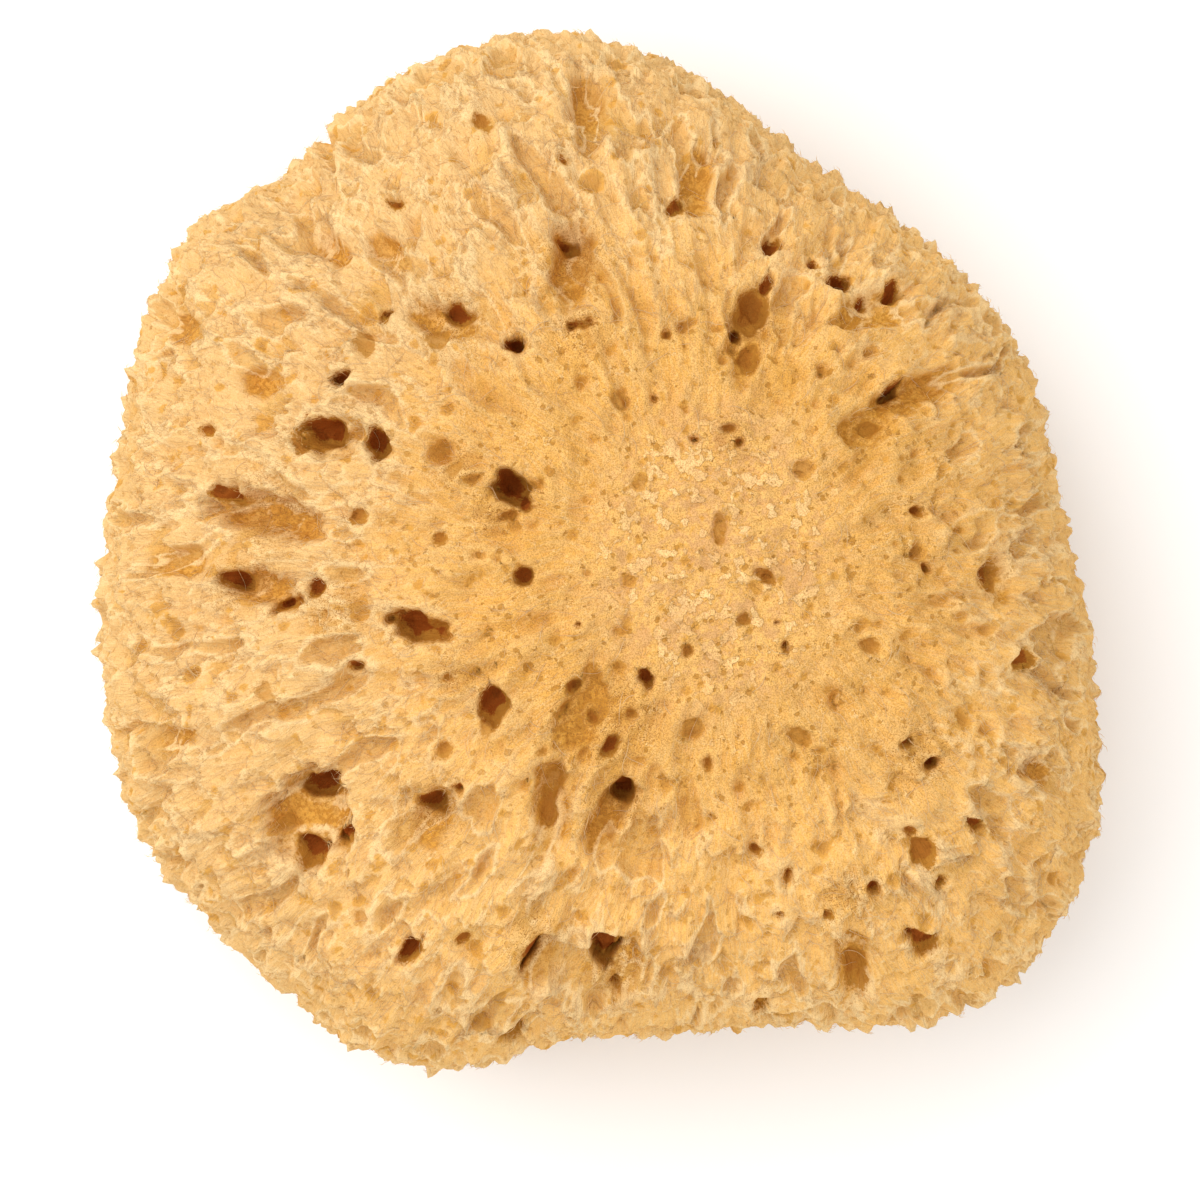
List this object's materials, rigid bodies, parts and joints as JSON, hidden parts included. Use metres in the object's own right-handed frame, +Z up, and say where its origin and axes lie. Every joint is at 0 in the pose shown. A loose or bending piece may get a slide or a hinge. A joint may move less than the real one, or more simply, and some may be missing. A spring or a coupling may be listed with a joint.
{
  "type": "sea sponge",
  "caption": "Whole natural sea sponge with a lobed dome, open canal mouths and a flat cut underside, for bathing, washing or display",
  "frame": {"origin": "middle of the flat cut underside, below the middle of the sponge's box, on the surface it rests on", "axes": "+Z up through the crown, +Y along the longer side of the outline towards its pointed lobe, +X across it"},
  "size_m": [0.1464, 0.1522, 0.0791],
  "materials": {
    "sponge_fibre": "matte"
  },
  "bodies": {
    "root": {"sponge": "sponge_fibre"}
  },
  "joints": []
}
